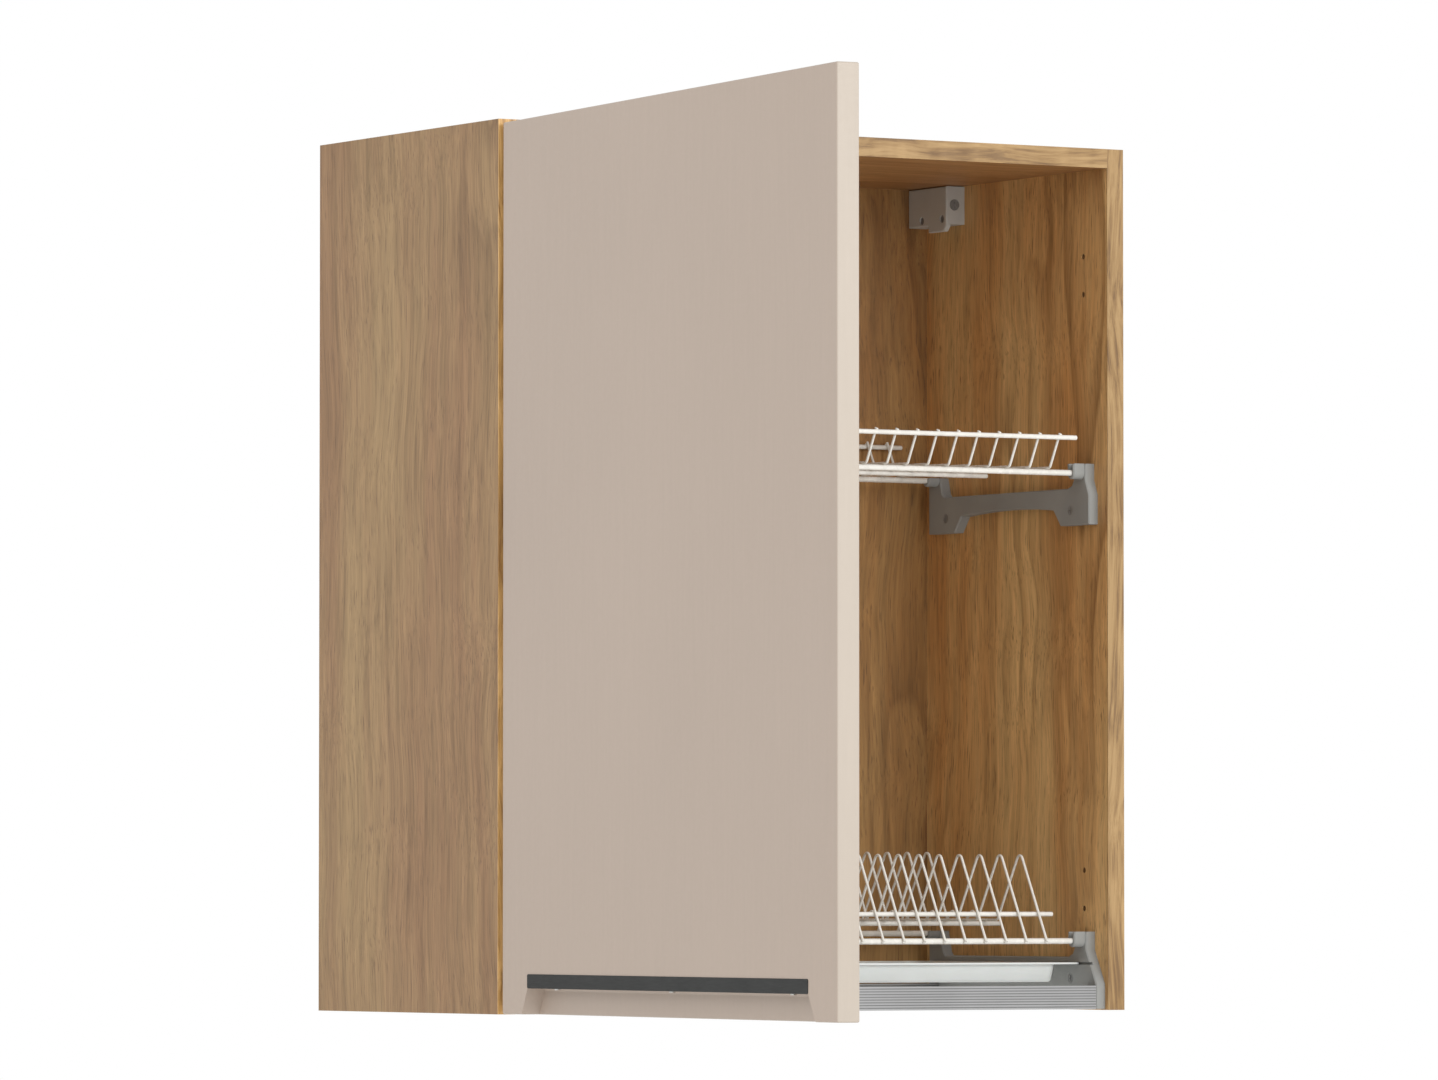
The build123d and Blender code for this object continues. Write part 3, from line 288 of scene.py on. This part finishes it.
# %% Layers of the oak
oak_layers = {
    "rings": {"share": 0.16, "scale": 5.6, "detail": 3, "roughness": 0.45},
    "patches": {"share": 0.22, "scale": 4.2, "detail": 2, "roughness": 0.5},
    "drift": {"share": 0.10, "scale": 15, "detail": 5, "roughness": 0.60},
    "streaks": {"share": 0.045, "scale": 110, "detail": 5, "roughness": 0.62},
    "fine": {"share": 0.020, "scale": 420, "detail": 3, "roughness": 0.6},
    "pores": {"share": 0.045, "scale": 800, "detail": 2, "roughness": 0.5},
}
arch_count = 13.0
ring_profile = [(0.0, 0.0), (0.50, 0.12), (0.80, 0.80), (0.90, 1.0), (1.0, 0.0)]
calm_patches = [(0.42, 0.08), (0.60, 0.9)]
streak_tones = [(0.32, 0.80), (0.50, 1.0), (0.70, 1.13)]
fine_tones = [(0.32, 0.84), (0.68, 1.13)]
pore_stops = [(0.58, 0.0), (0.70, 0.60)]
print("oak layers:", list(oak_layers))

# %% Oak decor
inner_skin = 0.0008
oak_roughness = (0.54, 0.42)
streak_height = 0.5


def oak(name, tones, level=False, shift=(0, 0, 0), contrast=0.75, undo_painted_light_outside=False):
    s = Surface(name)
    side = s.coordinates()[0]
    wander(s)
    layer = {}
    for key, settings in oak_layers.items():
        share, *grain = settings.values()
        stretch = (share, 1, 1) if level else (1, 1, share)
        layer[key] = s.noise(s.stretched(stretch, shift), *grain)
    arches = s.calc(s.calc(layer["rings"], "MULTIPLY", arch_count), "FRACT")
    latewood = s.ramp(arches, ring_profile)
    figure = s.calc(latewood, "MULTIPLY", s.ramp(layer["patches"], calm_patches))
    colour = s.between(layer["drift"], tones["warm"], tones["pale"], spread=0.14)
    colour = s.mix(s.calc(figure, "MULTIPLY", contrast), colour, (*tones["dark"], 1))
    colour = s.times(colour, s.ramp(layer["streaks"], streak_tones))
    colour = s.times(colour, s.ramp(layer["fine"], fine_tones))
    pores = s.ramp(layer["pores"], pore_stops)
    colour = s.mix(pores, colour, (*oak_pore, 1))
    # On the right board's outer face and edges the painted light is taken off again.
    if undo_painted_light_outside:
        inner_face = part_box("right_side_panel")[0].x
        outside = s.calc(side, "GREATER_THAN", inner_face + inner_skin)
        colour = s.tint(colour, outside, outside_painted_light_off)
    roughness = s.between(layer["streaks"], *oak_roughness, spread=0.3)
    height = s.calc(s.calc(layer["streaks"], "MULTIPLY", streak_height), "SUBTRACT", pores)
    relief = s.bump(height, depth=0.00012, strength=0.5)
    return s.finished(colour=colour, roughness=roughness, normal=relief, specular=0.35)


# The right, back and top boards get tones with painted light and shade in them.
oak_upright = oak("oak_upright", oak_tones_with_painted_light["left"], contrast=0.62)
oak_right_painted_light = oak("oak_right_painted_light", oak_tones_with_painted_light["right"], shift=(3.1, 0.7, 0.4), undo_painted_light_outside=True)
oak_back = oak("oak_back", oak_tones_with_painted_light["back"], shift=(0.35, 5.2, 1.9))
oak_level = oak("oak_level", oak_tones_with_painted_light["top"], level=True, shift=(1.3, 2.2, 0))

# %% [markdown]
# ## Edge band
# The raw edge of a board is covered by a thin strip glued on in the factory. Its print has close
# straight lines, and it catches the front light. On the uprights the lines run up, and on the top
# board they run across, so the band picks its direction from the place: between the uprights and
# above the top board's underside it is level. The strip beside the hinges stands in the shade of the
# open door, and painted light makes it paler.

# %% Edge band
top_low, top_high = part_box("top_panel")
band_stops = [(0.37, (0.124, 0.060, 0.020)), (0.47, (0.288, 0.168, 0.060)), (0.60, (0.430, 0.275, 0.118))]
band_drift = [(0.247, 0.142, 0.051), (0.393, 0.248, 0.106)]
drift_weight = 0.35
hinge_side_painted_light = (2.0, 1.95, 1.8)


def edge_band():
    s = Surface("pale_edge_band")
    side, _, height = s.coordinates()
    wander(s)
    upright = s.noise(s.stretched((1, 1, 0.035)), scale=260, detail=5, roughness=0.66)
    level = s.noise(s.stretched((0.05, 1, 1)), scale=200, detail=5, roughness=0.66)
    broad = s.noise(s.stretched((1, 1, 0.05)), scale=60)
    inside = s.calc(s.calc(side, "ABSOLUTE"), "LESS_THAN", top_high.x)
    above = s.calc(height, "GREATER_THAN", top_low.z)
    lines = s.mix(s.calc(above, "MULTIPLY", inside), upright, level)
    colour = s.mix(drift_weight, s.ramp(lines, band_stops), s.between(broad, *band_drift, spread=0.15))
    # Painted light: the left board's strip, shaded by the open door, is made paler.
    colour = s.tint(colour, s.calc(side, "LESS_THAN", top_low.x), hinge_side_painted_light)
    relief = s.bump(lines, depth=0.00008, strength=0.4)
    return s.finished(colour=colour, roughness=0.38, normal=relief, specular=0.45)


band_material = edge_band()
print("the band's lines turn level above", round(top_low.z, 3), "m")

# %% [markdown]
# ## Door lacquer
# The door is a smooth board in a warm grey-beige. Up close such a lacquer has the very fine roll of a
# sprayed coat, so the bump is tiny and wide, and the roughness drifts a little. The narrow sides get
# painted light: they are a shade cooler and lighter than the face, for the cooler light that falls on
# them. The door stands open at an angle, so its sides are found from how far a point lies along the
# board, and not from X or Y alone.

# %% Narrow sides of the door
door_open = math.radians(94.75)
edge_skin = 0.0004


def door_edges(s):
    """1 on the board's four narrow sides, 0 elsewhere."""
    along = Vector((math.cos(door_open), -math.sin(door_open), 0))
    run = [vertex.co @ along for vertex in nodes["door_panel"].data.vertices]
    low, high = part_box("door_panel")
    reach = s.add("VectorMath", {0: s.place, 1: along}, operation="DOT_PRODUCT").node.outputs["Value"]
    height = s.coordinates()[2]
    masks = []
    for value, start, end in ((reach, min(run), max(run)), (height, low.z, high.z)):
        off_middle = s.calc(s.calc(value, "SUBTRACT", (start + end) / 2), "ABSOLUTE")
        masks.append(s.calc(off_middle, "GREATER_THAN", (end - start) / 2 - edge_skin))
    return s.calc(masks[0], "MAXIMUM", masks[1])


print("the door stands open by", round(math.degrees(door_open), 2), "degrees")

# %% Door lacquer
door_tone = (0.444, 0.360, 0.298)
door_edge_painted_cool_light = (1.01, 1.08, 1.10)
door_shares = (0.975, 1.02)
fibre_shares = (0.985, 1.012)
door_roughness = (0.46, 0.54)


def door_lacquer():
    s = Surface("greige_lacquer")
    roll = s.noise(s.place, scale=240, detail=3)
    cloud = s.noise(s.place, scale=3.0, roughness=0.4)
    fibres = s.noise(s.stretched((1, 1, 0.05)), scale=260, detail=3, roughness=0.6)
    deeper, lighter = [tuple(c * share for c in door_tone) for share in door_shares]
    colour = s.times(s.between(cloud, deeper, lighter), s.between(fibres, *fibre_shares))
    # Painted light: the narrow sides are made a shade cooler and lighter, for the cool light falling on
    # them.
    colour = s.tint(colour, door_edges(s), door_edge_painted_cool_light)
    relief = s.bump(roll, depth=0.00004, strength=0.35)
    roughness = s.between(roll, *door_roughness)
    return s.finished(colour=colour, roughness=roughness, normal=relief, specular=0.4)


door_material = door_lacquer()

# %% [markdown]
# ## Dark handle strip
# The grip is an anodised aluminium angle in anthracite. Anodising follows the fine draw lines of the
# extrusion, so the roughness and bump are stretched along the strip.

# %% Handle strip
handle_tones = [(0.012, 0.013, 0.012), (0.018, 0.019, 0.018)]
handle_roughness = (0.46, 0.60)


def anthracite():
    s = Surface("anthracite_anodised")
    draw = s.noise(s.stretched((1, 0.02, 1)), scale=900, detail=3, roughness=0.6)
    colour = s.between(s.noise(s.place, scale=25), *handle_tones)
    relief = s.bump(draw, depth=0.00002, strength=0.35)
    roughness = s.between(draw, *handle_roughness, spread=0.3)
    return s.finished(colour=colour, roughness=roughness, normal=relief, specular=0.28)


handle_material = anthracite()

# %% [markdown]
# ## Moulded grey plastic
# Brackets and hangers are moulded in warm grey. The tool that moulds them is spark-eroded, which
# leaves an even fine grain, and very fine noise gives it in the bump and the roughness. The hangers
# sit in the dark rear corners, and their grey is painted lighter than the brackets' to lift that shade.

# %% Grey plastic
bracket_greys = [(0.262, 0.266, 0.256), (0.305, 0.310, 0.298)]
hanger_painted_light = (1.65, 1.62, 1.60)
grey_roughness = (0.62, 0.74)


def moulded_grey(name, painted_light_share=(1, 1, 1)):
    s = Surface(name)
    grain = s.noise(s.place, scale=1700)
    tones = [tuple(tone * share for tone, share in zip(base, painted_light_share)) for base in bracket_greys]
    colour = s.between(s.noise(s.place, scale=18, detail=3), *tones)
    relief = s.bump(grain, depth=0.00005, strength=0.5)
    roughness = s.between(grain, *grey_roughness)
    return s.finished(colour=colour, roughness=roughness, normal=relief, specular=0.25)


bracket_material = moulded_grey("moulded_grey")
# The hangers' grey is painted lighter against the shade of the rear corners.
hanger_painted_light_material = moulded_grey("hanger_grey_painted_lighter", hanger_painted_light)

# %% [markdown]
# ## Coated wire
# The wire is dipped in white plastic, which flows smooth and thick, so it is glossy with a soft coat.
# A slow ripple in the bump is what is left of the flow.

# %% White coating
wire_whites = [(0.676, 0.657, 0.605), (0.727, 0.707, 0.655)]
wire_roughness = (0.22, 0.32)


def white_coating():
    s = Surface("white_coating")
    flow = s.noise(s.place, scale=130)
    colour = s.between(flow, *wire_whites)
    relief = s.bump(flow, depth=0.00003, strength=0.15)
    roughness = s.between(flow, *wire_roughness)
    return s.finished(colour=colour, roughness=roughness, normal=relief, coat=0.25, coat_roughness=0.15)


wire_material = white_coating()

# %% [markdown]
# ## White tray
# The tray is formed from thin sheet in a cooler white than the wire. Thin plastic lets a little light
# into it before it comes back, so a trace of subsurface light softens its shade.

# %% Tray plastic
tray_whites = [(0.620, 0.632, 0.612), (0.650, 0.662, 0.645)]
tray_roughness = (0.36, 0.42)


def tray_plastic():
    s = Surface("tray_plastic")
    flow = s.noise(s.place, scale=40, detail=3)
    colour = s.between(flow, *tray_whites)
    roughness = s.between(flow, *tray_roughness)
    relief = s.bump(s.noise(s.place, scale=900), depth=0.00002, strength=0.2)
    thin_coat = {"coat": 0.1, "coat_roughness": 0.3}
    return s.finished(colour=colour, roughness=roughness, normal=relief, inner_light=0.05, **thin_coat)


tray_material = tray_plastic()

# %% [markdown]
# ## Ribbed aluminium
# The two rails across the open bottom are satin anodised aluminium, with draw lines along X. A ramp
# over the height paints shade into their grooves and a faint highlight just above each groove. It
# repeats at the ribs' pitch, counted from the rail's lower lip.

# %% Rails
rail_lip = 0.0015
rib_pitch = 0.00225
rib_painted_shade_and_highlight = [(0.0, 0.55), (0.34, 0.62), (0.46, 1.08), (1.0, 1.0)]
rail_tones = [(0.290, 0.290, 0.291), (0.330, 0.330, 0.331)]
rail_roughness = (0.34, 0.48)


def satin_aluminium():
    s = Surface("satin_aluminium")
    draw = s.noise(s.stretched((0.01, 1, 1)), scale=1400, detail=3, roughness=0.6)
    first_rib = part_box("front_bottom_rail")[0].z + rail_lip
    above = s.calc(s.coordinates()[2], "SUBTRACT", first_rib)
    within = s.calc(s.calc(above, "DIVIDE", rib_pitch), "FRACT")
    colour = s.between(s.noise(s.place, scale=12), *rail_tones)
    # Painted shade in the grooves and a faint painted highlight just above each one.
    colour = s.times(colour, s.ramp(within, rib_painted_shade_and_highlight))
    relief = s.bump(draw, depth=0.00002, strength=0.4)
    roughness = s.between(draw, *rail_roughness, spread=0.3)
    return s.finished(colour=colour, metallic=0.6, roughness=roughness, normal=relief)


rail_material = satin_aluminium()

# %% [markdown]
# ## Plated and cast fittings
# Three more metals are small but catch the eye: bright nickel with fine scratches on the hinges, a
# duller coat on the screws in the grey plastic, and the grainy die-cast zinc of the cam locks.

# %% Nickel plating
nickel_tones = [(0.58, 0.565, 0.535), (0.68, 0.67, 0.645)]
nickel_roughness = (0.20, 0.34)


def nickel_plating():
    s = Surface("nickel_plating")
    scratch = s.noise(s.stretched((1, 0.1, 1)), scale=1500, detail=3, roughness=0.6)
    colour = s.between(s.noise(s.place, scale=120, detail=3), *nickel_tones)
    relief = s.bump(scratch, depth=0.00001, strength=0.3)
    roughness = s.between(scratch, *nickel_roughness, spread=0.3)
    return s.finished(colour=colour, metallic=1.0, roughness=roughness, normal=relief)


nickel_material = nickel_plating()

# %% Dull steel
steel_tones = [(0.20, 0.20, 0.195), (0.27, 0.27, 0.262)]
steel_roughness = (0.50, 0.64)


def dull_steel():
    s = Surface("dull_steel")
    cloud = s.noise(s.place, scale=300, detail=3)
    colour = s.between(cloud, *steel_tones)
    relief = s.bump(cloud, depth=0.00002, strength=0.4)
    roughness = s.between(cloud, *steel_roughness, spread=0.3)
    return s.finished(colour=colour, metallic=0.3, roughness=roughness, normal=relief)


screw_material = dull_steel()

# %% Cast zinc
zinc_tones = [(0.40, 0.40, 0.41), (0.52, 0.52, 0.53)]


def cast_zinc():
    s = Surface("cast_zinc")
    grain = s.noise(s.place, scale=1200, detail=4, roughness=0.6)
    colour = s.between(grain, *zinc_tones)
    relief = s.bump(grain, depth=0.00005, strength=0.5)
    return s.finished(colour=colour, metallic=0.9, roughness=0.5, normal=relief)


cam_material = cast_zinc()

# %% [markdown]
# ## Beech and soft rubber
# The dowels are beech with short flecks. The door's two bumpers are discs of clear soft rubber, so
# they let part of the light through and have only a faint haze.

# %% Beech dowels
beech_tones = [(0.50, 0.33, 0.19), (0.66, 0.47, 0.29)]


def beech():
    s = Surface("beech")
    flecks = s.noise(s.stretched((0.2, 1, 1)), scale=800, detail=3, roughness=0.6)
    colour = s.between(flecks, *beech_tones, spread=0.15)
    relief = s.bump(flecks, depth=0.00005, strength=0.5)
    return s.finished(colour=colour, roughness=0.7, normal=relief)


dowel_material = beech()

# %% Clear bumpers
haze_tones = [(0.84, 0.84, 0.82), (0.92, 0.92, 0.90)]
rubber_roughness = (0.12, 0.22)


def clear_rubber():
    s = Surface("clear_rubber")
    haze = s.noise(s.place, scale=300)
    colour = s.between(haze, *haze_tones)
    roughness = s.between(haze, *rubber_roughness)
    return s.finished(colour=colour, roughness=roughness, transmission=0.6)


bumper_material = clear_rubber()

# %% [markdown]
# ## Which finish goes where
# The record names a material slot for each sub-part, and each slot has one finish. A few nodes look
# different from the rest of their slot: three boards get their own cut of the oak, so that neighbours
# don't share one figure, and their own tones with painted light and shade; the screws in the grey
# plastic are dull; and the hangers' grey is painted lighter against the shade of the rear corners.

# %% Finishes by slot and by node
finish = {
    "wood_decor_board": oak_upright,
    "light_edge_band": band_material,
    "greige_front": door_material,
    "anthracite_handle": handle_material,
    "grey_plastic": bracket_material,
    "anodised_aluminium": rail_material,
    "white_coated_wire": wire_material,
    "white_tray_plastic": tray_material,
    "nickelled_steel": nickel_material,
    "zinc_casting": cam_material,
    "beech_dowel": dowel_material,
    "clear_rubber": bumper_material,
}
own_finish = {"right_side_panel": oak_right_painted_light, "back_panel": oak_back, "top_panel": oak_level}
own_finish["bracket_screws"] = screw_material
for side in ("left", "right"):
    own_finish[side + "_hanger_housing"] = hanger_painted_light_material
    own_finish[side + "_hanger_fixing_screws"] = screw_material
    own_finish[side + "_hanger_adjusting_screw"] = screw_material
print(len(finish), "slots have a finish, and", len(own_finish), "nodes have their own")

# %% [markdown]
# ## Give every CAD solid its finish
# Round things need smooth shading and boards need crisp corners. Welding the mesh's doubled points and
# splitting its sharp edges gives both. Both are modifiers, so no point of the CAD mesh moves.

# %% Dress the CAD nodes
smooth_limit = math.radians(32)
weld_reach = 0.000002


def smooth_by_angle(thing):
    """Smooth every edge that bends less than the limit."""
    weld = thing.modifiers.new("weld", "WELD")
    weld.merge_threshold = weld_reach
    for polygon in thing.data.polygons:
        polygon.use_smooth = True
    split = thing.modifiers.new("crisp_edges", "EDGE_SPLIT")
    split.split_angle = smooth_limit


for part in frame["record"]["subparts"]:
    thing = nodes[part["node"]]
    thing.data.materials.clear()
    thing.data.materials.append(own_finish.get(part["node"], finish[part["material_slot"]]))
    smooth_by_angle(thing)

# %% [markdown]
# ## Where the racks are welded
# A rack is spot-welded at every crossing before it is coated, and the coating draws a small smooth
# collar round each weld. Two bars that only touch look like toy wire. The crossings are read from the
# nodes: the bars' places from their boxes, and the wires' from the outermost two and their pitch.

# %% Crossings of wires and bars
wire_radius = 0.0011
wire_pitch = 0.02
beside_wire = wire_radius * 1.3


def bar_places(names):
    """Depth, height and radius of level bars, from their boxes."""
    places = []
    for name in names:
        low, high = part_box(name)
        places.append(((low.y + high.y) / 2, (low.z + high.z) / 2, (high.z - low.z) / 2))
    return places


def wire_xs(name):
    """X of each bent wire."""
    xs = [round(vertex.co.x, 4) for vertex in nodes[name].data.vertices]
    first, last = min(xs) + wire_radius, max(xs) - wire_radius
    return [first + wire_pitch * k for k in range(round((last - first) / wire_pitch) + 1)]


def touching_spot(name, x, depth, height, reach):
    """Middle of the wire's points that are near a bar, or None where the two don't meet."""
    near = []
    for vertex in nodes[name].data.vertices:
        co = vertex.co
        if abs(co.x - x) < beside_wire and math.hypot(co.y - depth, co.z - height) < reach:
            near.append(co)
    return sum(near, Vector()) / len(near) if near else None


print("wires:", len(wire_xs("plate_rack_wires")), "for plates,", len(wire_xs("cup_rack_wires")), "for cups")

# %% [markdown]
# ## Weld beads
# A flattened bead at each crossing, in the same white, gives the joint its thickness. Every wire of a
# rack is bent alike, so the first wire shows on which side of a bar the beads sit.

# %% Weld beads
bead_segments = 10
bead_size = Vector((0.0017, 0.0015, 0.0015))
bead_lift = wire_radius * 0.1
search_reach = wire_radius * 2.2


def bead(mesh, centre):
    rings = bead_segments // 2 + 1
    made = bmesh.ops.create_uvsphere(mesh, u_segments=bead_segments, v_segments=rings, radius=1.0)
    bmesh.ops.scale(mesh, vec=bead_size, verts=made["verts"])
    bmesh.ops.translate(mesh, vec=centre, verts=made["verts"])


def weld_beads(name, wires, bars, body):
    mesh = bmesh.new()
    count = 0
    xs = wire_xs(wires)
    for depth, height, radius in bar_places(bars):
        spot = touching_spot(wires, xs[0], depth, height, radius + search_reach)
        if spot is None:
            continue
        way = Vector((0, spot.y - depth, spot.z - height)).normalized()
        for x in xs:
            bead(mesh, Vector((x, depth, height)) + way * (radius + bead_lift))
            count += 1
    data = bpy.data.meshes.new(name)
    mesh.to_mesh(data)
    mesh.free()
    for polygon in data.polygons:
        polygon.use_smooth = True
    thing = bpy.data.objects.new(name, data)
    thing.data.materials.append(finish["white_coated_wire"])
    bpy.context.scene.collection.objects.link(thing)
    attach(thing, body)
    print(name, "has", count, "beads")


plate_bars = ["front_rod", "front_rail", "inner_front_rod", "inner_rear_rod", "rear_rod"]
cup_bars = ["front_rod", "front_rail", "middle_rod", "rear_rod", "rear_rail"]
for rack, bars in (("plate_rack", plate_bars), ("cup_rack", cup_bars)):
    weld_beads(rack + "_welds", rack + "_wires", [rack + "_" + bar for bar in bars], rack)
